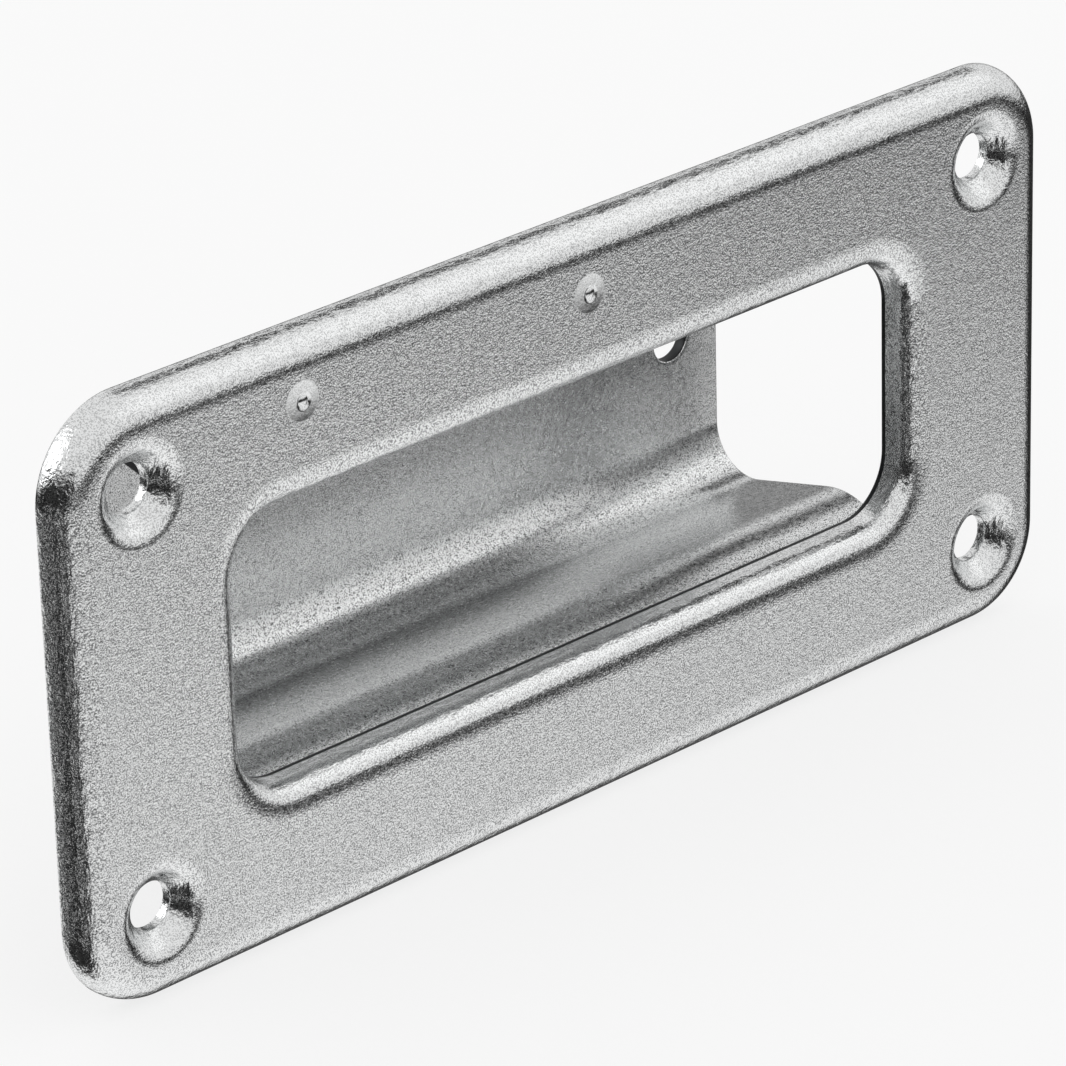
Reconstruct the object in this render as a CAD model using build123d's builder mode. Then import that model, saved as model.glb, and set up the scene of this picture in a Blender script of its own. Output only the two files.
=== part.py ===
from build123d import *
from math import cos, radians, sqrt, tan
import os

# Recessed pull for a pocket door: a pressed front frame with a bent strip welded behind
# its opening, which makes the finger recess. X runs along the frame and Z is up. The pull
# faces -Y, and the face of the door is the plane Y = 0, with the centre of the four
# screws at the origin.

# Front frame
frame_sheet = 1.0
frame_length = 140.0
frame_height = 65.0
frame_corner = 10.0  # plan radius of the four outer corners
rim_bend = 3.5  # radius of the bend that turns the edge back to the door
rim_depth = 4.0  # from the front face to the door
cut_edge = 0.35  # edge that blanking breaks on the front side of the sheet

# Opening in the frame, with its edge drawn inwards as a collar
opening_length = 96.5
opening_height = 30.4
opening_corner = 6.5
collar_bend = 2.2
collar_depth = 4.5  # from the front face to the tip of the collar

# Countersunk screw holes, dimpled into the sheet
screw_inset = 10.0  # from the edges of the frame to the middle of a hole
screw_hole = 5.2
countersink_angle = 90.0
countersink_depth = 2.1  # from the front face to the top of the hole
dimple_depth = 3.3  # from the front face to the flat end of the dimple
dimple_lip = 2.6  # radius that rolls the front face into the cone

# Marks of the spot welds on the upper band
weld_places = [(-39.0, 2.6), (0.3, 3.1)]  # along the frame, and down from the flange's edge
weld_dent = 4.2
weld_dent_depth = 0.16
weld_pip = 1.3  # raised spot that the electrode leaves in the middle of the dent
weld_pip_height = 0.12
weld_pip_cap = 60.0  # latitude where the ball of the raised spot is cut, inside the sheet

# Recess strip
trough_sheet = 1.5
trough_end_gap = 1.0  # from an end of the opening to that end of the strip
trough_depth = 27.3  # from the face of the flanges to the back wall
mouth_step = 2.7  # how far the roof and floor start inside the edge of the opening
back_spread = 6.1  # how far each of them moves outwards down to the back wall
trough_front_bend = 8.6
trough_back_bend = 5.3
flange_inset = 4.3  # from the edge of the frame to the edge of a flange
back_hole = 5.0
back_hole_inset = 7.25  # from an end of the strip to the middle of a hole
back_hole_edge = 0.25

# Places that follow from the sizes
screw_spacing_x = frame_length - 2 * screw_inset
screw_spacing_z = frame_height - 2 * screw_inset
flange_edge = frame_height / 2 - flange_inset
flange_y = frame_sheet - rim_depth
mouth_edge = opening_height / 2 - mouth_step
back_edge = mouth_edge + back_spread
trough_length = opening_length - 2 * trough_end_gap


def front_plane(depth):
    """The plane parallel to the door that lies this deep behind the front face."""
    return Plane.XZ.offset(rim_depth - depth)


def cap_radius(chord, height):
    """Radius of the sphere whose cap has this width and height."""
    return ((chord / 2) ** 2 + height**2) / (2 * height)


def inside_flat(radius):
    """Length of the chamfer that touches the middle of a quarter bend of this radius."""
    return radius * (2 - sqrt(2))


# Front frame: a shallow pan with a rounded rim. On its hidden back the bends are single flats.
with BuildPart() as front_frame:
    with BuildSketch(front_plane(rim_depth)):
        RectangleRounded(frame_length, frame_height, frame_corner)
    extrude(amount=rim_depth)
    with BuildSketch(front_plane(rim_depth)):
        RectangleRounded(
            frame_length - 2 * frame_sheet,
            frame_height - 2 * frame_sheet,
            frame_corner - frame_sheet,
        )
    extrude(amount=rim_depth - frame_sheet, mode=Mode.SUBTRACT)
    land_back = front_frame.faces().filter_by(Plane.XZ).sort_by(Axis.Y)[1]
    chamfer(land_back.edges(), length=inside_flat(rim_bend - frame_sheet))
    fillet(front_frame.faces().sort_by(Axis.Y)[0].edges(), radius=rim_bend)
    rim_foot = front_frame.faces().sort_by(Axis.Y)[-1]
    chamfer(rim_foot.outer_wire().edges(), length=cut_edge)

    # Dimples of the screw holes, one sheet thick all the way down
    flank = radians(countersink_angle / 2)
    countersink_radius = screw_hole / 2 + countersink_depth * tan(flank)
    dimple_radius = countersink_radius + frame_sheet / cos(flank) - dimple_depth * tan(flank)
    with BuildSketch(front_plane(dimple_depth)):
        with GridLocations(screw_spacing_x, screw_spacing_z, 2, 2):
            Circle(dimple_radius)
    extrude(amount=dimple_depth - frame_sheet, taper=-countersink_angle / 2)
    with Locations(front_plane(0)):
        with GridLocations(screw_spacing_x, screw_spacing_z, 2, 2):
            CounterSinkHole(
                screw_hole / 2, countersink_radius, counter_sink_angle=countersink_angle
            )
    land = front_frame.faces().sort_by(Axis.Y)[0]
    fillet(land.inner_wires().edges(), radius=dimple_lip)

    # Collar of the opening
    with BuildSketch(front_plane(collar_depth)):
        RectangleRounded(
            opening_length + 2 * frame_sheet,
            opening_height + 2 * frame_sheet,
            opening_corner + frame_sheet,
        )
    extrude(amount=collar_depth - frame_sheet / 2)
    land_back = front_frame.faces().filter_by(Plane.XZ).sort_by(Axis.Y)[1]
    collar_root = land_back.inner_wires().sort_by(SortBy.LENGTH)[-1]
    chamfer(collar_root.edges(), length=inside_flat(collar_bend - frame_sheet))
    with BuildSketch(front_plane(0)):
        RectangleRounded(opening_length, opening_height, opening_corner)
    extrude(amount=-collar_depth, mode=Mode.SUBTRACT)
    land = front_frame.faces().sort_by(Axis.Y)[0]
    fillet(land.inner_wires().sort_by(SortBy.LENGTH)[-1].edges(), radius=collar_bend)
    collar_tip = front_frame.faces().sort_by(Axis.Y)[-1]
    chamfer(collar_tip.inner_wires()[0].edges(), length=cut_edge)

    # Weld marks: a shallow dent with a raised spot in its middle
    dent_floor = weld_dent_depth - rim_depth
    dent_radius = cap_radius(weld_dent, weld_dent_depth)
    pip_radius = cap_radius(weld_pip, weld_pip_height)
    for weld_x, weld_drop in weld_places:
        weld_z = flange_edge - weld_drop
        with Locations((weld_x, dent_floor - dent_radius, weld_z)):
            Sphere(dent_radius, mode=Mode.SUBTRACT)
        with Locations((weld_x, dent_floor - weld_pip_height, weld_z)):
            Sphere(
                pip_radius,
                arc_size1=weld_pip_cap,
                rotation=(90, 0, 0),
                align=(Align.CENTER, Align.CENTER, Align.MAX),
            )

front_frame.part.label = "front_frame"

# Recess strip: a hat section, open at its two ends
with BuildPart() as grip_trough:
    with BuildSketch(Plane.YZ):
        with BuildLine():
            section = FilletPolyline(
                (flange_y, flange_edge),
                (flange_y, mouth_edge),
                (flange_y + trough_depth, back_edge),
                (flange_y + trough_depth, -back_edge),
                (flange_y, -mouth_edge),
                (flange_y, -flange_edge),
                radius=[trough_front_bend, trough_back_bend, trough_back_bend, trough_front_bend],
            )
            offset(section, amount=trough_sheet, side=Side.LEFT)
        make_face()
    extrude(amount=trough_length / 2, both=True)
    with Locations(Plane.XZ.offset(-flange_y - trough_depth)):
        with GridLocations(trough_length - 2 * back_hole_inset, 0, 2, 1):
            Hole(back_hole / 2)
    back_wall = grip_trough.faces().filter_by(Plane.XZ).sort_by(Axis.Y)[-2]
    chamfer(back_wall.inner_wires().edges(), length=back_hole_edge)

grip_trough.part.label = "grip_trough"

os.makedirs("parts", exist_ok=True)
export_step(front_frame.part, "parts/front_frame.step")
export_step(grip_trough.part, "parts/grip_trough.step")
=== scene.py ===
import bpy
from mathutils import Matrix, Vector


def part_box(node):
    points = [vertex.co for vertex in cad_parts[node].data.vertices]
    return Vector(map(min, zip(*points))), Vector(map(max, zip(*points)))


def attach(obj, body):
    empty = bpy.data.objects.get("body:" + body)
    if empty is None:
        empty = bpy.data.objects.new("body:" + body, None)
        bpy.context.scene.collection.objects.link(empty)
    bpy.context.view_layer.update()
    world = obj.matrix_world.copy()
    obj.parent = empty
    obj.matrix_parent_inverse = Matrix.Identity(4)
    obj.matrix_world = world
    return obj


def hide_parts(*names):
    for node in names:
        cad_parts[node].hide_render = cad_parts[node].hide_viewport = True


bl_info = {
    "name": "Pocket Door Pull",
    "version": (1, 0, 0),
    "blender": (4, 5, 0),
    "location": "View3D > Sidebar > Door Pull",
    "description": "Builds a recessed steel pull for a pocket door, with its finish and its stage",
    "category": "Object",
}

from math import asin, atan2, cos, pi, radians, sin, tan

import bmesh
import bpy
from mathutils import Matrix, Vector

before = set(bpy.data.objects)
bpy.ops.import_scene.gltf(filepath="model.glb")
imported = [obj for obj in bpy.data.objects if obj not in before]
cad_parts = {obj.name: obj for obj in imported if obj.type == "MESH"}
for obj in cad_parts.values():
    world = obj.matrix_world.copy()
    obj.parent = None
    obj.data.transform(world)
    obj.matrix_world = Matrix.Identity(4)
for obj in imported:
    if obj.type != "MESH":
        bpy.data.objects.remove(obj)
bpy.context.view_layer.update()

# Places are in metres, in the frame of the CAD model: X runs along the pull, Z is up, and the
# pull faces -Y. The face of the door is the plane Y = 0.
MM = 0.001
FRAME_LOW, FRAME_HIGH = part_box("front_frame")
STRIP_LOW, STRIP_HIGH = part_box("grip_trough")
FRONT_FACE_Y = FRAME_LOW[1]
BODY = "root"

# Fineness of the meshes
CORNER_STEPS = 28  # to a rounded corner, seen from the front
BEND_STEPS = 14  # to a bend of the frame
EASE_STEPS = 6  # to the slack start of such a bend
STRIP_FRONT_STEPS = 20  # to a front bend of the strip
STRIP_BACK_STEPS = 16  # to a back bend of the strip
EDGE_STEPS = 3  # to a broken edge
TURN_STEPS = 72  # round a hole
STRAIGHT_STEPS = 6  # along half of the frame's height, and twice as many to half of its length
LAND_STRIP = 0.06 * MM  # flat strip beside a bend, which keeps its shading off the land
HOLE_RING = 0.6 * MM  # ring of even faces round a hole in the back wall
SAME_PLACE = 0.5e-6  # points nearer than this are one
SHARP_ANGLE = radians(32)  # edges with more than this between their faces show as sharp

# A press bends sheet slackly at first. That start of a bend has this radius and turns this far.
EASE_RADIUS = 9.0 * MM
RIM_EASE = radians(6)
COLLAR_EASE = radians(11)

# Weld marks: their places along the frame, and down from the edge of the strip's flange
WELD_PLACES = ((-39.0 * MM, 2.6 * MM), (0.3 * MM, 3.1 * MM))
WELD_BOWL = 0.35  # share of a mark's depth that its wide, shallow part takes
WELD_GROOVE = 0.3 * MM  # width of the groove between that part and the raised spot
WELD_SHIFT = Vector((0.2, -0.15, 0.0)) * MM  # from the middle of a mark to its raised spot

# Cut edges, and the painted shade of the crevice beside the collar's cut edge
PUNCHED_EDGE = 0.12 * MM  # broken edge at both ends of a screw hole
CREVICE_SHADE_BAND = 0.4 * MM  # how far the dark steel reaches from the collar's cut edge up its wall, as painted shade of the crevice between the collar and the strip
CREVICE_SHADE_SHARE = 0.8  # most of a short wall that this band takes
HIDDEN_EDGE = 1 / 3  # broken edge at the back of the sheet, as a share of the one that shows

# Material slots: both pieces have the first two, and the third is the frame's. On the frame, the
# second also paints the crevice shade on a band of the collar's wall
COAT_SLOT, CUT_SLOT, BURNISHED_SLOT = 0, 1, 2


def length_prop(name, text, value):
    """A size in metres that the sidebar shows as a length."""
    return bpy.props.FloatProperty(
        name=name, description=text, default=value, min=0.0, precision=5, unit="LENGTH"
    )


def linear(hex_colour):
    """Linear colour of an sRGB hex value."""
    parts = [int(hex_colour[i : i + 2], 16) / 255 for i in (1, 3, 5)]
    return tuple(p / 12.92 if p <= 0.04045 else ((p + 0.055) / 1.055) ** 2.4 for p in parts)


def colour_prop(name, text, hex_colour):
    """A colour, kept as linear values."""
    return bpy.props.FloatVectorProperty(
        name=name, description=text, default=linear(hex_colour), size=3, min=0.0, max=1.0,
        subtype="COLOR",
    )


class PULL_PG_frame(bpy.types.PropertyGroup):
    """Sizes of the pressed front frame."""

    length: length_prop("Length", "Length of the frame", FRAME_HIGH[0] - FRAME_LOW[0])
    height: length_prop("Height", "Height of the frame", FRAME_HIGH[2] - FRAME_LOW[2])
    sheet: length_prop("Sheet", "Thickness of the sheet", 1.0 * MM)
    corner: length_prop("Corner", "Radius of the corners, seen from the front", 10.0 * MM)
    rim_bend: length_prop("Rim bend", "Radius of the bend at the outer edge", 3.5 * MM)
    rim_depth: length_prop("Rim depth", "From the front face to the door", -FRAME_LOW[1])
    cut_edge: length_prop("Cut edge", "Edge that blanking breaks on the sheet", 0.35 * MM)
    opening_length: length_prop("Opening length", "Length of the opening", 96.5 * MM)
    opening_height: length_prop("Opening height", "Height of the opening", 30.4 * MM)
    opening_corner: length_prop("Opening corner", "Corner radius of the opening", 6.5 * MM)
    collar_bend: length_prop("Collar bend", "Radius of the bend round the opening", 2.2 * MM)
    screw_inset: length_prop("Screw inset", "From the edges to a screw hole", 10.0 * MM)
    screw_hole: length_prop("Screw hole", "Diameter of a screw hole", 5.2 * MM)
    countersink: length_prop("Countersink", "Depth at which the cone meets the hole", 2.1 * MM)
    dimple_depth: length_prop("Dimple depth", "From the front face to the dimple's end", 3.3 * MM)
    dimple_lip: length_prop("Dimple lip", "Radius that rolls the face into the cone", 2.6 * MM)
    weld_dent: length_prop("Weld dent", "Diameter of a spot weld's mark", 4.2 * MM)
    weld_dent_depth: length_prop("Weld dent depth", "Depth of a spot weld's mark", 0.16 * MM)
    weld_pip: length_prop("Weld pip", "Diameter of the raised spot in a mark", 1.3 * MM)
    weld_pip_height: length_prop("Weld pip height", "Height of that spot", 0.12 * MM)


class PULL_PG_strip(bpy.types.PropertyGroup):
    """Sizes of the bent strip that makes the recess."""

    length: length_prop("Length", "Length of the strip", STRIP_HIGH[0] - STRIP_LOW[0])
    height: length_prop("Height", "Height over the two flanges", STRIP_HIGH[2] - STRIP_LOW[2])
    sheet: length_prop("Sheet", "Thickness of the strip", 1.5 * MM)
    mouth: length_prop("Mouth", "Half the height between roof and floor at the front", 12.5 * MM)
    spread: length_prop("Spread", "How far roof and floor part down to the back", 6.1 * MM)
    front_bend: length_prop("Front bend", "Radius of the front bends", 8.6 * MM)
    back_bend: length_prop("Back bend", "Radius of the back bends", 5.3 * MM)
    back_hole: length_prop("Back hole", "Diameter of the holes in the back wall", 5.0 * MM)
    back_hole_inset: length_prop("Back hole inset", "From an end to a hole", 7.25 * MM)
    cut_edge: length_prop("Cut edge", "Broken edge of the cut strip", 0.18 * MM)


class PULL_PG_finish(bpy.types.PropertyGroup):
    """Colours of the finishes and of the floor."""

    pressing: colour_prop("Pressing", "Zinc coat of the frame", "#F4F5F5")
    pressing_speck: colour_prop("Pressing specks", "Dull crystals in that coat", "#7C7D7E")
    strip: colour_prop("Strip", "Zinc coat of the recess strip", "#F6F7F7")
    strip_speck: colour_prop("Strip specks", "Dull crystals in that coat", "#3C3D3E")
    # This dark steel also paints the shade of the crevice on a band of the collar's wall
    cut: colour_prop("Cut edge", "Bare steel of the sheared edges", "#3A3B3C")
    floor: colour_prop("Floor", "Floor and surroundings", "#F7F7F7")


class PULL_PG_stage(bpy.types.PropertyGroup):
    """Camera and light."""

    azimuth: bpy.props.FloatProperty(
        name="Azimuth", description="Turn of the camera to the pull's right",
        default=radians(-43.577), subtype="ANGLE",
    )
    elevation: bpy.props.FloatProperty(
        name="Elevation", description="Height of the camera above the horizon",
        default=radians(24.191), subtype="ANGLE",
    )
    roll: bpy.props.FloatProperty(
        name="Roll", description="Turn of the camera about its own axis",
        default=radians(-1.561), subtype="ANGLE",
    )
    distance: length_prop("Distance", "From the camera to the point it looks at", 639.51 * MM)
    lens: bpy.props.FloatProperty(
        name="Lens", description="Focal length in millimetres", default=211.79, min=1.0
    )
    aim: bpy.props.FloatVectorProperty(
        name="Aim", description="Point that the camera looks at", size=3, subtype="TRANSLATION",
        default=(-8.526 * MM, -4.0 * MM, 1.411 * MM),
    )
    box_light: bpy.props.FloatProperty(
        name="Box light", description="Power of the large soft box", default=0.3, min=0.0
    )


# Mesh helpers


def new_object(name, data):
    """A new object at the origin, linked to the scene."""
    made = bpy.data.objects.new(name, data)
    bpy.context.scene.collection.objects.link(made)
    return made


def mesh_object(name, bm):
    """A new object that has this mesh, with smooth faces. Frees the bmesh."""
    for face in bm.faces:
        face.smooth = True
    mesh = bpy.data.meshes.new(name)
    bm.to_mesh(mesh)
    bm.free()
    return new_object(name, mesh)


def even_shading(piece):
    """Large flat faces keep their own normal up to the first step of a bend."""
    shading = piece.modifiers.new("even shading", "WEIGHTED_NORMAL")
    shading.mode = "FACE_AREA_WITH_ANGLE"
    shading.weight = 80
    shading.keep_sharp = True


def copy_in(bm, part, places):
    """Adds the mesh of another bmesh at each of these places, and frees that bmesh."""
    mesh = bpy.data.meshes.new("copy")
    part.to_mesh(mesh)
    part.free()
    for place in places:
        bm.verts.ensure_lookup_table()
        known = len(bm.verts)
        bm.from_mesh(mesh)
        bm.verts.ensure_lookup_table()
        bmesh.ops.translate(bm, vec=place, verts=bm.verts[known:])
    bpy.data.meshes.remove(mesh)


def only(kind, geometry):
    """The vertices, edges or faces in a list of mixed geometry."""
    return [g for g in geometry if isinstance(g, kind)]


def straight(bm, tip, step):
    """Draws a straight line from this vertex, and returns the vertex at its end."""
    new = bmesh.ops.extrude_vert_indiv(bm, verts=[tip])["verts"]
    bmesh.ops.translate(bm, vec=step, verts=new)
    return new[0]


def arc(bm, tip, centre, axis, angle, steps):
    """Draws an arc from this vertex about an axis, and returns the vertex at its end."""
    turned = bmesh.ops.spin(
        bm, geom=[tip], cent=centre, axis=axis, angle=angle, steps=steps, use_duplicate=False
    )
    return only(bmesh.types.BMVert, turned["geom_last"])[0]


def lead(bm, section, way, steps):
    """Extrudes the edges of a section this way in even steps, and returns its far copy."""
    for _ in range(steps):
        edges = only(bmesh.types.BMEdge, section)
        drawn = bmesh.ops.extrude_edge_only(bm, edges=edges)["geom"]
        verts = only(bmesh.types.BMVert, drawn)
        bmesh.ops.translate(bm, vec=Vector(way) / steps, verts=verts)
        ends = set(verts)
        section = verts + [
            e for e in only(bmesh.types.BMEdge, drawn) if all(v in ends for v in e.verts)
        ]
    return section


def turn_full(bm):
    """Turns the line that was drawn right round the Z axis."""
    bmesh.ops.spin(
        bm, geom=bm.verts[:] + bm.edges[:], cent=(0, 0, 0), axis=(0, 0, 1), angle=2 * pi,
        steps=TURN_STEPS, use_merge=True, use_duplicate=False,
    )
    bmesh.ops.remove_doubles(bm, verts=bm.verts, dist=SAME_PLACE)


def turned_edge(
    half_length, half_height, corner, bend, ease, depth, sheet, cut_edge, side, bare_and_shaded
):
    """The turned edge of the frame at the origin, both sides of the sheet.

    A strip of the flat land turns through a bend into a wall that goes back to the depth. The
    bend starts with a slack part of the EASE_RADIUS, which turns by the angle ease. The wall
    stands on the outline with these half lengths and this corner. The land lies outside it
    (side 1) round the opening, and inside it (side -1) round the whole frame. The section is
    drawn once, led along a quarter of the outline and mirrored twice. Where its flag is set, as
    on the collar, the cut edge shows bare steel, and a band of the wall beside it takes the same
    dark steel as painted shade of the crevice between the collar and the strip.
    """
    bm = bmesh.new()
    across = (0, side, 0)
    quarter = pi / 2
    slack = (EASE_RADIUS - bend) * sin(ease)
    start = (half_length + side * (bend + slack + LAND_STRIP), 0, 0)
    tip = bmesh.ops.create_vert(bm, co=start)["vert"][0]
    tip = straight(bm, tip, (-side * LAND_STRIP, 0, 0))
    ease_centre = (tip.co.x, 0, -EASE_RADIUS)
    bend_centre = (half_length + side * bend, 0, (EASE_RADIUS - bend) * cos(ease) - EASE_RADIUS)
    tip = arc(bm, tip, ease_centre, across, -ease, EASE_STEPS)
    tip = arc(bm, tip, bend_centre, across, ease - quarter, BEND_STEPS)
    wall = depth - cut_edge + tip.co.z
    # A band of the wall above the cut edge takes the dark steel too: painted shade of the crevice
    # between the collar's tip and the strip
    shade_band = min(CREVICE_SHADE_BAND, CREVICE_SHADE_SHARE * wall)
    tip = straight(bm, tip, (0, 0, shade_band - wall))
    shade_band_top = tip.co.z
    tip = straight(bm, tip, (0, 0, -shade_band))
    edge_centre = (half_length + side * cut_edge, 0, cut_edge - depth)
    tip = arc(bm, tip, edge_centre, across, -quarter, EDGE_STEPS)
    inner_edge = cut_edge * HIDDEN_EDGE
    tip = straight(bm, tip, (side * (sheet - cut_edge - inner_edge), 0, 0))
    edge_centre = (half_length + side * (sheet - inner_edge), 0, inner_edge - depth)
    tip = arc(bm, tip, edge_centre, across, -quarter, EDGE_STEPS)
    tip = straight(bm, tip, (0, 0, bend_centre[2] - tip.co.z))
    tip = arc(bm, tip, bend_centre, across, quarter - ease, BEND_STEPS)
    tip = arc(bm, tip, ease_centre, across, ease, EASE_STEPS)
    straight(bm, tip, (side * LAND_STRIP, 0, 0))

    section = bm.verts[:] + bm.edges[:]
    section = lead(bm, section, (0, half_height - corner, 0), STRAIGHT_STEPS)
    turned = bmesh.ops.spin(
        bm, geom=section, cent=(half_length - corner, half_height - corner, 0), axis=(0, 0, 1),
        angle=quarter, steps=CORNER_STEPS, use_duplicate=False,
    )
    lead(bm, turned["geom_last"], (corner - half_length, 0, 0), STRAIGHT_STEPS * 2)
    for axis in ("X", "Y"):
        whole = bm.verts[:] + bm.edges[:] + bm.faces[:]
        bmesh.ops.mirror(bm, geom=whole, axis=axis, merge_dist=SAME_PLACE)
    # The bare steel of the cut edge and the painted crevice shade on the band above it both take
    # the cut slot
    for face in bm.faces:
        is_cut_or_shade = bare_and_shaded and face.calc_center_median().z < shade_band_top
        face.material_index = CUT_SLOT if is_cut_or_shade else COAT_SLOT
    return bm


def open_edges(bm, axis, level):
    """The open edges whose two ends lie at this level of an axis."""
    return [
        e for e in bm.edges
        if e.is_boundary and all(abs(getattr(v.co, axis) - level) < SAME_PLACE for v in e.verts)
    ]


def face_outwards(bm):
    """Merges the points that lie in one place, and then turns the faces outwards."""
    bmesh.ops.remove_doubles(bm, verts=bm.verts, dist=SAME_PLACE)
    bmesh.ops.recalc_face_normals(bm, faces=bm.faces)


def cap_radius(reach, height):
    """Radius of the ball that a cap with this half width and height is cut from."""
    return (reach**2 + height**2) / (2 * height)


# Pieces


def dimple(size):
    """One dimple at the origin, both sides of the sheet, with the countersunk hole through it."""
    across = (0, 1, 0)
    flank = pi / 4  # half of the 90 degree countersink
    hole = size.screw_hole / 2
    sheet = size.sheet
    edge = PUNCHED_EDGE
    cone = hole + size.countersink * tan(flank)
    tangent = size.dimple_lip * tan(flank / 2)
    bm = bmesh.new()
    start = (cone + tangent + LAND_STRIP, 0, 0)
    tip = bmesh.ops.create_vert(bm, co=start)["vert"][0]
    tip = straight(bm, tip, (-LAND_STRIP, 0, 0))
    lip_centre = (cone + tangent, 0, -size.dimple_lip)
    tip = arc(bm, tip, lip_centre, across, -flank, BEND_STEPS)
    tip = straight(bm, tip, Vector((hole + edge, 0, -size.countersink + edge)) - tip.co)
    tip = straight(bm, tip, Vector((hole, 0, -size.countersink - edge)) - tip.co)
    tip = straight(bm, tip, (0, 0, -size.dimple_depth + edge - tip.co.z))
    tip = straight(bm, tip, (edge, 0, -edge))

    # Back of the sheet
    back_cone = cone + sheet / cos(flank) - sheet * tan(flank)
    back_lip = max(size.dimple_lip - sheet, sheet / 2)
    back_tangent = back_lip * tan(flank / 2)
    foot = back_cone - (size.dimple_depth - sheet) * tan(flank)
    tip = straight(bm, tip, (foot - tip.co.x, 0, 0))
    back_start = back_cone - back_tangent * cos(flank)
    tip = straight(bm, tip, Vector((back_start, 0, -sheet - back_tangent * sin(flank))) - tip.co)
    lip_centre = (back_cone + back_tangent, 0, -sheet - back_lip)
    tip = arc(bm, tip, lip_centre, across, flank, BEND_STEPS // 2)
    straight(bm, tip, (LAND_STRIP, 0, 0))
    turn_full(bm)
    return bm


def weld_mark(size):
    """The mark of a spot weld at the origin: a wide, shallow bowl that the electrode has
    burnished, and in it a groove round a raised spot, a little off the middle."""
    across = (0, 1, 0)
    reach = size.weld_dent / 2
    bowl_depth = WELD_BOWL * size.weld_dent_depth
    bowl = cap_radius(reach, bowl_depth)
    pip_reach = size.weld_pip / 2
    pip = cap_radius(pip_reach, size.weld_pip_height)
    groove = pip_reach + WELD_GROOVE
    bm = bmesh.new()
    tip = bmesh.ops.create_vert(bm, co=(reach + LAND_STRIP, 0, 0))["vert"][0]
    tip = straight(bm, tip, (-LAND_STRIP, 0, 0))
    swept = asin(reach / bowl) - asin(groove / bowl)
    tip = arc(bm, tip, (0, 0, bowl - bowl_depth), across, swept, BEND_STEPS)
    tip = straight(bm, tip, Vector((pip_reach, 0, -size.weld_dent_depth)) - tip.co)
    rise = asin(pip_reach / pip)
    arc(bm, tip, (0, 0, tip.co.z - pip * cos(rise)), across, -rise, BEND_STEPS)
    turn_full(bm)
    for face in bm.faces:
        face.material_index = BURNISHED_SLOT
    for vert in bm.verts:
        inwards = (reach - vert.co.xy.length) / (reach - groove)
        vert.co += WELD_SHIFT * min(max(inwards, 0.0), 1.0)
    return bm


def build_frame(size, strip):
    """The pressed frame: rim, land, collar, dimples and weld marks, one sheet thick."""
    sheet = size.sheet
    here = [(0, 0, 0)]
    rim = turned_edge(
        size.length / 2, size.height / 2, size.corner, size.rim_bend, RIM_EASE,
        size.rim_depth, sheet, size.cut_edge, side=-1, bare_and_shaded=False,
    )
    # The collar's cut edge shows bare steel, with painted crevice shade on a band of its wall
    collar = turned_edge(
        size.opening_length / 2, size.opening_height / 2, size.opening_corner,
        size.collar_bend, COLLAR_EASE, FRAME_HIGH[1] - FRAME_LOW[1], sheet, size.cut_edge,
        side=1, bare_and_shaded=True,
    )
    bm = bmesh.new()
    copy_in(bm, rim, here)
    copy_in(bm, collar, here)
    across = size.length / 2 - size.screw_inset
    up = size.height / 2 - size.screw_inset
    copy_in(bm, dimple(size), [(x, z, 0) for x in (-across, across) for z in (-up, up)])
    marks = [(along, strip.height / 2 - down, 0) for along, down in WELD_PLACES]
    copy_in(bm, weld_mark(size), marks)
    for level, facing in ((0.0, 1), (-sheet, -1)):
        bmesh.ops.triangle_fill(
            bm, edges=open_edges(bm, "z", level), use_beauty=True, use_dissolve=False,
            normal=(0, 0, facing),
        )
    bmesh.ops.transform(bm, matrix=Matrix.Rotation(radians(90), 4, "X"), verts=bm.verts)
    bmesh.ops.translate(bm, vec=(0, FRONT_FACE_Y, 0), verts=bm.verts)
    face_outwards(bm)
    for edge in bm.edges:
        edge.smooth = edge.calc_face_angle(0.0) < SHARP_ANGLE
    return mesh_object("pressed_frame", bm)


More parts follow.
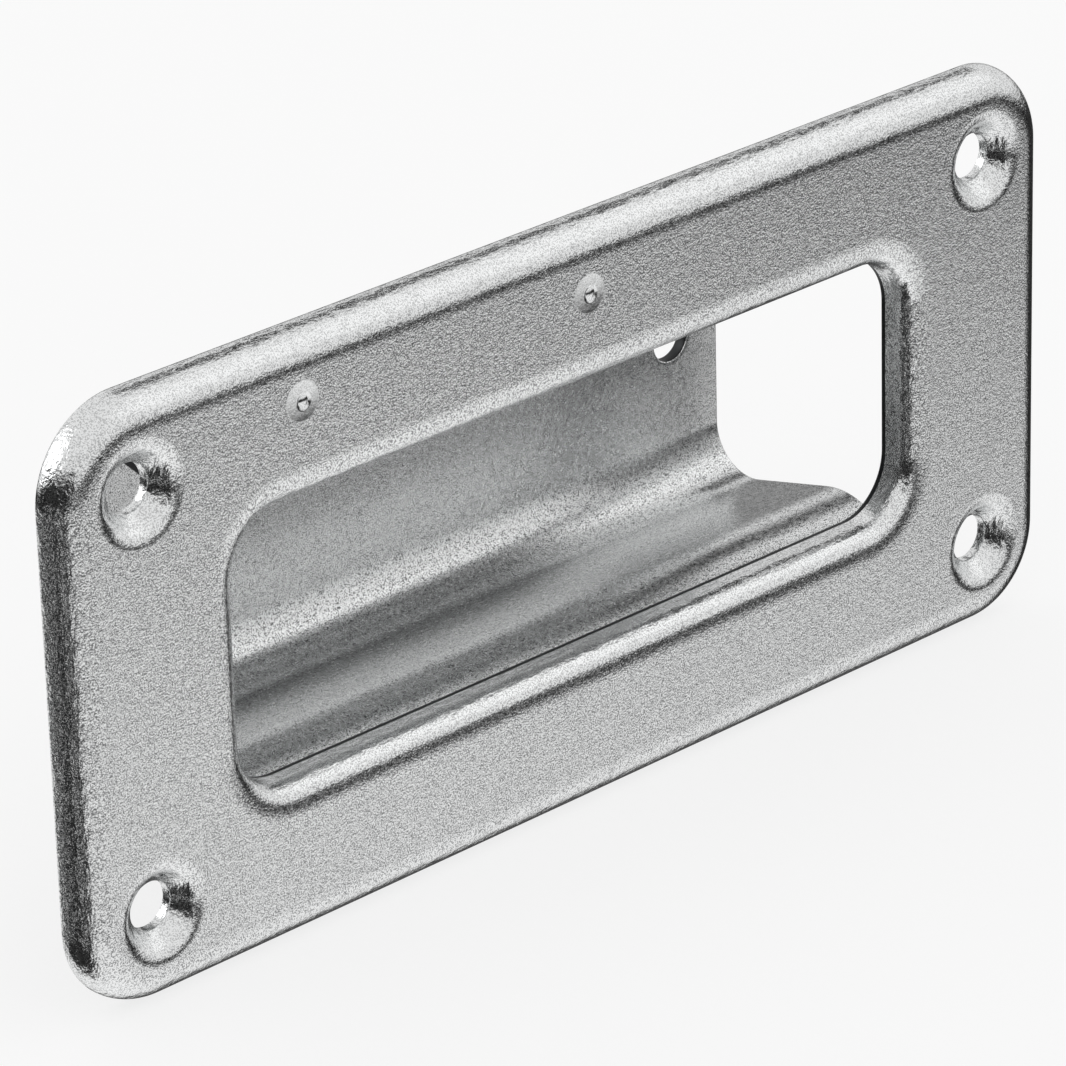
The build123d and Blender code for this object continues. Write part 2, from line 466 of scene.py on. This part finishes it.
def build_strip(size):
    """The recess strip: two flanges, a sloping roof and floor, and the back wall."""
    face_y = STRIP_LOW[1]
    depth = STRIP_HIGH[1] - STRIP_LOW[1] - size.sheet
    slope = atan2(size.spread, depth)
    turn = pi / 2 + slope
    half = size.length / 2
    across = (1, 0, 0)
    bm = bmesh.new()
    tip = bmesh.ops.create_vert(bm, co=(-half, face_y, size.height / 2))["vert"][0]
    front_run = size.front_bend * tan(turn / 2)
    tip = straight(bm, tip, (0, 0, size.mouth + front_run - tip.co.z))
    front_centre = (-half, face_y + size.front_bend, tip.co.z)
    tip = arc(bm, tip, front_centre, across, turn, STRIP_FRONT_STEPS)
    back_run = size.back_bend * tan(turn / 2)
    back_corner = Vector((-half, face_y + depth, size.mouth + size.spread))
    along = Vector((0, cos(slope), sin(slope)))
    tip = straight(bm, tip, back_corner - along * back_run - tip.co)
    back_centre = tip.co + Vector((0, sin(slope), -cos(slope))) * size.back_bend
    arc(bm, tip, back_centre, across, -turn, STRIP_BACK_STEPS)
    lead(bm, bm.edges[:], (size.length, 0, 0), STRAIGHT_STEPS * 4)
    bmesh.ops.mirror(bm, geom=bm.verts[:] + bm.edges[:] + bm.faces[:], axis="Z", merge_dist=0)

    # The back wall is filled between the two bends, with its holes left open
    back_y = face_y + depth
    wall_edges = open_edges(bm, "y", back_y)
    wall = bmesh.ops.bridge_loops(bm, edges=wall_edges)["faces"]
    wall_edges += [e for f in wall for e in f.edges if e.is_boundary]
    bmesh.ops.delete(bm, geom=wall, context="FACES_KEEP_BOUNDARY")
    for side in (-1, 1):
        hole_x = side * (half - size.back_hole_inset)
        placed = Matrix.Translation((hole_x, back_y, 0)) @ Matrix.Rotation(radians(90), 4, "X")
        disc = bmesh.ops.create_circle(
            bm, cap_ends=True, radius=size.back_hole / 2 + HOLE_RING, segments=TURN_STEPS,
            matrix=placed,
        )["verts"][0].link_faces[0]
        ring = bmesh.ops.inset_individual(
            bm, faces=[disc], thickness=HOLE_RING, use_even_offset=True
        )["faces"]
        wall_edges += [e for f in ring for e in f.edges if e.is_boundary]
        bmesh.ops.delete(bm, geom=[disc], context="FACES_ONLY")
    bmesh.ops.triangle_fill(
        bm, edges=wall_edges, use_beauty=True, use_dissolve=False, normal=(0, -1, 0)
    )
    face_outwards(bm)

    # The sheet gets its thickness behind its faces, so the back wall has to face the front
    back_face = max(bm.faces, key=lambda f: f.calc_center_median().y)
    if back_face.normal.y > 0:
        bmesh.ops.reverse_faces(bm, faces=bm.faces)
    piece = mesh_object("recess_strip", bm)
    wall_thickness = piece.modifiers.new("sheet", "SOLIDIFY")
    wall_thickness.thickness = size.sheet
    wall_thickness.offset = -1
    wall_thickness.use_even_offset = True
    wall_thickness.material_offset_rim = CUT_SLOT
    edge = piece.modifiers.new("cut edge", "BEVEL")
    edge.width = size.cut_edge
    edge.segments = 2
    edge.limit_method = "ANGLE"
    edge.angle_limit = radians(60)
    return piece


# Finishes

# The sockets of a Mix node that hold its two colours, and the one that gives the mixed colour
MIX_A, MIX_B, MIX_COLOUR = 6, 7, 2

# The zinc coat
DRAW_LINE = 0.6 * MM  # width of a line that the tool drew along a bend
DRAW_STRETCH = 0.4  # that width over the length of the line
DRAWN_FROM, DRAWN_FULL = 0.1, 0.6  # how far a normal leans where the lines start and are full
HIGHLIGHT_FROM, HIGHLIGHT_FULL = 0.1, 0.5  # and where the painted highlight on surfaces that face up or down starts and is full: fewer dull specks there make the top and bottom bends lighter
SPECK_EDGE = 0.16  # width of a speck's soft edge, in levels of its noise
MOTTLE_TONE = 0.25  # how far the mottles gather the specks
MOTTLE_HEIGHT = 0.7  # height of the mottles over that of the grain
MOTTLE_LOW, MOTTLE_HIGH = 0.3, 0.7  # levels of the mottles' noise where the shine changes most
SHINE_CHANGE = 0.04  # how far the roughness then is from its middle

# The sheared edge
TEAR = 0.3 * MM  # width of the marks that tearing leaves
TEAR_DEPTH = 0.02 * MM


def add(tree, kind, inputs=None, **settings):
    """Adds a node, gives it its settings, and sets or links its inputs."""
    node = tree.nodes.new(kind)
    for name, value in settings.items():
        setattr(node, name, value)
    for socket, value in (inputs or {}).items():
        if isinstance(value, bpy.types.NodeSocket):
            tree.links.new(value, node.inputs[socket])
        else:
            node.inputs[socket].default_value = value
    return node


def new_material(name):
    """An empty node material, its tree, and the shader that is joined to its output."""
    material = bpy.data.materials.new(name)
    material.use_nodes = True
    tree = material.node_tree
    tree.nodes.clear()
    shader = add(tree, "ShaderNodeBsdfPrincipled")
    add(tree, "ShaderNodeOutputMaterial", {"Surface": shader.outputs["BSDF"]})
    return material, tree, shader


def zinc_coat(
    name, coat, dull, speck, dullness, clean, painted_highlight, grain, mottle, roughness, relief, draw
):
    """Zinc-plated steel sheet. Dull crystals speckle the coat like salt and pepper, its grain
    breaks the shine, its thickness varies in soft mottles, and bending left lines along bends.

    Real crystals are a few hundredths of a millimetre wide, too fine to show, so they are drawn
    about 0.15 mm wide. speck, grain and mottle are sizes in metres, dullness is how far a dull
    crystal covers the coat, and clean is the level of the noise above which there are none. A
    further share thins the dull crystals where a surface faces up or down, as on the top and
    bottom bends: a painted highlight that makes those bends lighter. relief is the height of the
    grain, and draw is how strong the lines are beside it.
    """
    material, tree, shader = new_material(name)
    place = add(tree, "ShaderNodeTexCoord").outputs["Object"]
    fine = add(tree, "ShaderNodeTexNoise", {
        "Vector": place, "Scale": 1 / grain, "Detail": 2.0, "Roughness": 0.6,
    }).outputs["Fac"]
    soft = add(tree, "ShaderNodeTexNoise", {
        "Vector": place, "Scale": 1 / mottle, "Detail": 2.0, "Roughness": 0.5,
    }).outputs["Fac"]
    facing = add(tree, "ShaderNodeSeparateXYZ", {
        "Vector": add(tree, "ShaderNodeNewGeometry").outputs["Normal"],
    })
    streaks = 0.0
    for bent, stretch in (("X", (1.0, 1.0, DRAW_STRETCH)), ("Z", (DRAW_STRETCH, 1.0, 1.0))):
        along = add(tree, "ShaderNodeMapping", {"Vector": place, "Scale": stretch})
        lines = add(tree, "ShaderNodeTexNoise", {
            "Vector": along.outputs["Vector"], "Scale": 1 / DRAW_LINE, "Detail": 2.0,
        })
        turned = add(tree, "ShaderNodeMath", {0: facing.outputs[bent]}, operation="ABSOLUTE")
        share = add(tree, "ShaderNodeMapRange", {
            "Value": turned.outputs["Value"], "From Min": DRAWN_FROM, "From Max": DRAWN_FULL,
            "To Min": 0.0, "To Max": draw,
        })
        streaks = add(tree, "ShaderNodeMath", {
            0: lines.outputs["Fac"], 1: share.outputs["Result"], 2: streaks,
        }, operation="MULTIPLY_ADD").outputs["Value"]
    crystals = add(tree, "ShaderNodeTexNoise", {
        "Vector": place, "Scale": 1 / speck, "Detail": 1.0, "Roughness": 0.6,
    }).outputs["Fac"]
    tone = add(tree, "ShaderNodeMath", {
        0: soft, 1: MOTTLE_TONE, 2: crystals,
    }, operation="MULTIPLY_ADD")
    # Painted highlight: where the normal leans up or down, as on the top and bottom bends, the
    # dull specks thin out, so those bends look lighter
    upward = add(tree, "ShaderNodeMath", {0: facing.outputs["Z"]}, operation="ABSOLUTE")
    dullness_under_highlight = add(tree, "ShaderNodeMapRange", {
        "Value": upward.outputs["Value"], "From Min": HIGHLIGHT_FROM, "From Max": HIGHLIGHT_FULL,
        "To Min": dullness, "To Max": dullness * (1 - painted_highlight),
    })
    dull_share = add(tree, "ShaderNodeMapRange", {
        "Value": tone.outputs["Value"], "From Min": clean - SPECK_EDGE, "From Max": clean,
        "To Min": dullness_under_highlight.outputs["Result"], "To Max": 0.0,
    })
    colour = add(tree, "ShaderNodeMix", {
        "Factor": dull_share.outputs["Result"], MIX_A: (*coat, 1.0), MIX_B: (*dull, 1.0),
    }, data_type="RGBA")
    rough = add(tree, "ShaderNodeMapRange", {
        "Value": soft, "From Min": MOTTLE_LOW, "From Max": MOTTLE_HIGH,
        "To Min": roughness - SHINE_CHANGE, "To Max": roughness + SHINE_CHANGE,
    })
    height = add(tree, "ShaderNodeMath", {
        0: soft, 1: MOTTLE_HEIGHT, 2: fine,
    }, operation="MULTIPLY_ADD")
    height = add(tree, "ShaderNodeMath", {0: streaks, 1: height.outputs["Value"]})
    bump = add(tree, "ShaderNodeBump", {
        "Height": height.outputs["Value"], "Distance": relief, "Strength": 1.0,
    })
    tree.links.new(colour.outputs[MIX_COLOUR], shader.inputs["Base Color"])
    tree.links.new(rough.outputs["Result"], shader.inputs["Roughness"])
    tree.links.new(bump.outputs["Normal"], shader.inputs["Normal"])
    shader.inputs["Metallic"].default_value = 1.0
    return material


def cut_steel(colour):
    """Sheared edge of the sheet: bare torn steel, which is dark and matt beside the zinc. On the
    collar it also covers a band of the wall beside the edge, as painted shade of the crevice
    behind it.
    """
    material, tree, shader = new_material("sheared bare steel")
    place = add(tree, "ShaderNodeTexCoord").outputs["Object"]
    tear = add(tree, "ShaderNodeTexNoise", {"Vector": place, "Scale": 1 / TEAR})
    bump = add(tree, "ShaderNodeBump", {
        "Height": tear.outputs["Fac"], "Distance": TEAR_DEPTH, "Strength": 1.0,
    })
    tree.links.new(bump.outputs["Normal"], shader.inputs["Normal"])
    shader.inputs["Base Color"].default_value = (*colour, 1.0)
    shader.inputs["Metallic"].default_value = 1.0
    shader.inputs["Roughness"].default_value = 0.45
    return material


# Stage

FLOOR_RADIUS = 3.0
FLOOR_LIGHT = 0.75  # how far the camera sees the floor as plain white, which thins its shadow
MATT_LIGHT = 0.85  # brightness of the tent for surfaces that don't mirror it

# What the metal sees of the studio at each height of a ray, from -1 straight down to 1 straight
# up: the lit table fades out between two heights, a dark gap follows, and the white tent comes
# in between two more
TABLE_LIGHT, TABLE_FULL, TABLE_END = 0.88, -0.45, -0.28
GAP_LIGHT = 0.02
TENT_LIGHT, TENT_START, TENT_FULL = 0.8, -0.16, -0.04

# What it sees besides: the way to the middle of each patch, the angles at which it starts to
# fade and is gone, and its brightness
STUDIO_PATCHES = (
    ((0.00, -0.10, -1.00), 26, 42, 0.95),  # lit table close to the pull
    ((-0.75, 0.40, 0.50), 20, 27, 2.2),  # second lamp, high on the left behind
    ((0.63, 0.77, 0.09), 10, 16, 0.25),  # dim end of the tent, behind on the right
    ((0.63, 0.40, 0.66), 8, 12, 0.01),  # gap between the tent and its roof
    ((0.70, 0.40, -0.60), 22, 32, 0.08),  # dark room beyond the table's right end
    ((0.90, 0.00, -0.42), 16, 24, 0.03),  # and beside it
    ((-0.90, -0.05, -0.42), 42, 50, 0.03),  # dark room on the side of the camera
    ((-0.68, -0.72, -0.10), 19, 25, 0.03),  # and over the camera
    ((-0.52, -0.74, -0.41), 2, 6, 0.8),  # slits of light between the dark cloths there
    ((-0.80, -0.43, -0.41), 2, 6, 1.0),
    ((-0.91, 0.05, -0.36), 2, 5, 1.0),
    ((-0.80, 0.43, -0.46), 2, 5, 1.0),
)

# The soft box: its size, how far away it stands, and the way to it
BOX_WIDTH, BOX_DEPTH, BOX_DISTANCE = 0.9, 0.55, 1.0
BOX_WAY = (0.63, -0.41, 0.66)


def build_floor(finish, level):
    """A plain pale floor that keeps the shadow and shows as the white background."""
    bm = bmesh.new()
    bmesh.ops.create_circle(bm, cap_ends=True, radius=FLOOR_RADIUS, segments=96)
    bmesh.ops.translate(bm, vec=(0, 0, level), verts=bm.verts)
    floor = mesh_object("studio_floor", bm)
    material, tree, shader = new_material("matt white board")
    shader.inputs["Base Color"].default_value = (*finish.floor, 1.0)
    shader.inputs["Roughness"].default_value = 0.9
    rays = add(tree, "ShaderNodeLightPath")
    seen = add(tree, "ShaderNodeMath", {
        0: rays.outputs["Is Camera Ray"], 1: rays.outputs["Is Glossy Ray"],
    }, operation="MAXIMUM")
    seen = add(tree, "ShaderNodeMath", {
        0: seen.outputs["Value"], 1: rays.outputs["Is Transmission Ray"],
    }, operation="MAXIMUM")
    share = add(tree, "ShaderNodeMath", {
        0: seen.outputs["Value"], 1: FLOOR_LIGHT,
    }, operation="MULTIPLY")
    white = add(tree, "ShaderNodeEmission", {"Color": (1, 1, 1, 1), "Strength": 1.0})
    mixed = add(tree, "ShaderNodeMixShader", {
        0: share.outputs["Value"], 1: shader.outputs["BSDF"], 2: white.outputs["Emission"],
    })
    output = tree.nodes["Material Output"]
    tree.links.new(mixed.outputs["Shader"], output.inputs["Surface"])
    floor.data.materials.append(material)
    floor.visible_glossy = False


def patch(tree, direction, towards, inner, outer):
    """Share of a soft round patch of the surroundings, 1 within the inner angle and 0 beyond
    the outer one."""
    facing = add(tree, "ShaderNodeVectorMath", {
        0: direction, 1: Vector(towards).normalized()[:],
    }, operation="DOT_PRODUCT")
    share = add(tree, "ShaderNodeMapRange", {
        "Value": facing.outputs["Value"], "From Min": cos(radians(outer)),
        "From Max": cos(radians(inner)), "To Min": 0.0, "To Max": 1.0,
    }, interpolation_type="SMOOTHSTEP")
    return share.outputs["Result"]


def build_world():
    """A white tent round the pull, open towards the camera and at its right end, where metal
    sees the dark room."""
    world = bpy.data.worlds.new("white tent")
    bpy.context.scene.world = world
    world.use_nodes = True
    tree = world.node_tree
    tree.nodes.clear()
    direction = add(tree, "ShaderNodeTexCoord").outputs["Generated"]
    level = add(tree, "ShaderNodeSeparateXYZ", {"Vector": direction}).outputs["Z"]
    table = add(tree, "ShaderNodeMapRange", {
        "Value": level, "From Min": TABLE_FULL, "From Max": TABLE_END, "To Min": TABLE_LIGHT,
        "To Max": GAP_LIGHT,
    }, interpolation_type="SMOOTHSTEP")
    tent = add(tree, "ShaderNodeMapRange", {
        "Value": level, "From Min": TENT_START, "From Max": TENT_FULL, "To Min": 0.0,
        "To Max": TENT_LIGHT,
    }, interpolation_type="SMOOTHSTEP")
    seen = add(tree, "ShaderNodeMath", {
        0: table.outputs["Result"], 1: tent.outputs["Result"],
    }, operation="ADD").outputs["Value"]
    for towards, inner, outer, brightness in STUDIO_PATCHES:
        share = patch(tree, direction, towards, inner, outer)
        seen = add(tree, "ShaderNodeMix", {
            "Factor": share, "A": seen, "B": brightness,
        }).outputs["Result"]
    rays = add(tree, "ShaderNodeLightPath")
    mirrored = add(tree, "ShaderNodeMath", {
        0: rays.outputs["Is Glossy Ray"], 1: rays.outputs["Is Transmission Ray"],
    }, operation="MAXIMUM")
    strength = add(tree, "ShaderNodeMix", {
        "Factor": rays.outputs["Is Camera Ray"], "A": MATT_LIGHT, "B": 1.0,
    })
    strength = add(tree, "ShaderNodeMix", {
        "Factor": mirrored.outputs["Value"], "A": strength.outputs["Result"], "B": seen,
    })
    ground = add(tree, "ShaderNodeBackground", {
        "Color": (1, 1, 1, 1), "Strength": strength.outputs["Result"],
    })
    add(tree, "ShaderNodeOutputWorld", {"Surface": ground.outputs["Background"]})


def build_soft_box(power):
    """A large soft box above the front right corner."""
    light = bpy.data.lights.new("soft_box", "AREA")
    light.shape = "RECTANGLE"
    light.size = BOX_WIDTH
    light.size_y = BOX_DEPTH
    light.energy = power
    box = new_object("soft_box", light)
    towards = Vector(BOX_WAY).normalized()
    box.location = towards * BOX_DISTANCE
    box.rotation_euler = towards.to_track_quat("Z", "Y").to_euler()


def build_camera(stage):
    """The camera, at the angle from which the pull was photographed."""
    camera = bpy.data.cameras.new("camera")
    camera.lens = stage.lens
    camera.sensor_width = 36.0
    camera.clip_start = 0.01
    holder = new_object("camera", camera)
    level = cos(stage.elevation)
    back = Vector((sin(stage.azimuth) * level, -cos(stage.azimuth) * level, sin(stage.elevation)))
    aim = Vector(stage.aim)
    turned = back.to_track_quat("Z", "Y").to_matrix().to_4x4()
    rolled = turned @ Matrix.Rotation(stage.roll, 4, "Z")
    holder.matrix_world = Matrix.Translation(aim + back * stage.distance) @ rolled
    bpy.context.scene.camera = holder


# Operators


class PULL_OT_frame(bpy.types.Operator):
    """Build the pressed front frame"""

    bl_idname = "pull.pressed_frame"
    bl_label = "Pressed Frame"

    def execute(self, context):
        scene = context.scene
        finish = scene.pull_finish
        piece = build_frame(scene.pull_frame, scene.pull_strip)
        even_shading(piece)
        # The pressing's top and bottom bends get the painted highlight, which thins the dull
        # specks there
        piece.data.materials.append(zinc_coat(
            "zinc plated steel, pressed", finish.pressing, finish.pressing_speck,
            speck=0.16 * MM, dullness=0.9, clean=0.66, painted_highlight=0.45, grain=0.22 * MM,
            mottle=0.55 * MM, roughness=0.12, relief=0.032 * MM, draw=3.0,
        ))
        piece.data.materials.append(cut_steel(finish.cut))
        piece.data.materials.append(zinc_coat(
            "zinc plated steel, burnished", finish.pressing, finish.pressing_speck,
            speck=0.16 * MM, dullness=0.3, clean=0.675, painted_highlight=0.0, grain=0.24 * MM,
            mottle=0.55 * MM, roughness=0.13, relief=0.008 * MM, draw=0.0,
        ))
        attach(piece, BODY)
        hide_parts("front_frame")
        return {"FINISHED"}


class PULL_OT_strip(bpy.types.Operator):
    """Build the bent strip that makes the recess"""

    bl_idname = "pull.recess_strip"
    bl_label = "Recess Strip"

    def execute(self, context):
        scene = context.scene
        finish = scene.pull_finish
        piece = build_strip(scene.pull_strip)
        even_shading(piece)
        piece.data.materials.append(zinc_coat(
            "zinc plated steel, bent", finish.strip, finish.strip_speck,
            speck=0.13 * MM, dullness=1.0, clean=0.63, painted_highlight=0.0, grain=0.2 * MM,
            mottle=0.5 * MM, roughness=0.24, relief=0.015 * MM, draw=0.5,
        ))
        piece.data.materials.append(cut_steel(finish.cut))
        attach(piece, BODY)
        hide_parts("grip_trough")
        return {"FINISHED"}


class PULL_OT_stage(bpy.types.Operator):
    """Set up the floor, the surroundings, the light and the camera"""

    bl_idname = "pull.stage"
    bl_label = "Stage"

    def execute(self, context):
        scene = context.scene
        scene.view_settings.view_transform = "Standard"
        build_floor(scene.pull_finish, FRAME_LOW[2])
        build_world()
        build_soft_box(scene.pull_stage.box_light)
        build_camera(scene.pull_stage)
        return {"FINISHED"}


class PULL_PT_sidebar(bpy.types.Panel):
    """Lists the pieces and their sizes"""

    bl_label = "Door Pull"
    bl_idname = "PULL_PT_sidebar"
    bl_space_type = "VIEW_3D"
    bl_region_type = "UI"
    bl_category = "Door Pull"

    def draw(self, context):
        for operator, group in (
            ("pull.pressed_frame", context.scene.pull_frame),
            ("pull.recess_strip", context.scene.pull_strip),
            ("pull.stage", context.scene.pull_stage),
        ):
            box = self.layout.box()
            box.operator(operator)
            for name in group.bl_rna.properties.keys():
                if name not in ("rna_type", "name"):
                    box.prop(group, name)
        box = self.layout.box()
        for name in ("pressing", "pressing_speck", "strip", "strip_speck", "cut", "floor"):
            box.prop(context.scene.pull_finish, name)


CLASSES = (
    PULL_PG_frame, PULL_PG_strip, PULL_PG_finish, PULL_PG_stage, PULL_OT_frame, PULL_OT_strip,
    PULL_OT_stage, PULL_PT_sidebar,
)
GROUPS = {
    "pull_frame": PULL_PG_frame,
    "pull_strip": PULL_PG_strip,
    "pull_finish": PULL_PG_finish,
    "pull_stage": PULL_PG_stage,
}


def register():
    for cls in CLASSES:
        bpy.utils.register_class(cls)
    for name, group in GROUPS.items():
        setattr(bpy.types.Scene, name, bpy.props.PointerProperty(type=group))


def unregister():
    for name in GROUPS:
        delattr(bpy.types.Scene, name)
    for cls in reversed(CLASSES):
        bpy.utils.unregister_class(cls)


def main():
    register()
    bpy.ops.pull.pressed_frame()
    bpy.ops.pull.recess_strip()
    bpy.ops.pull.stage()


if __name__ == "__main__":
    main()
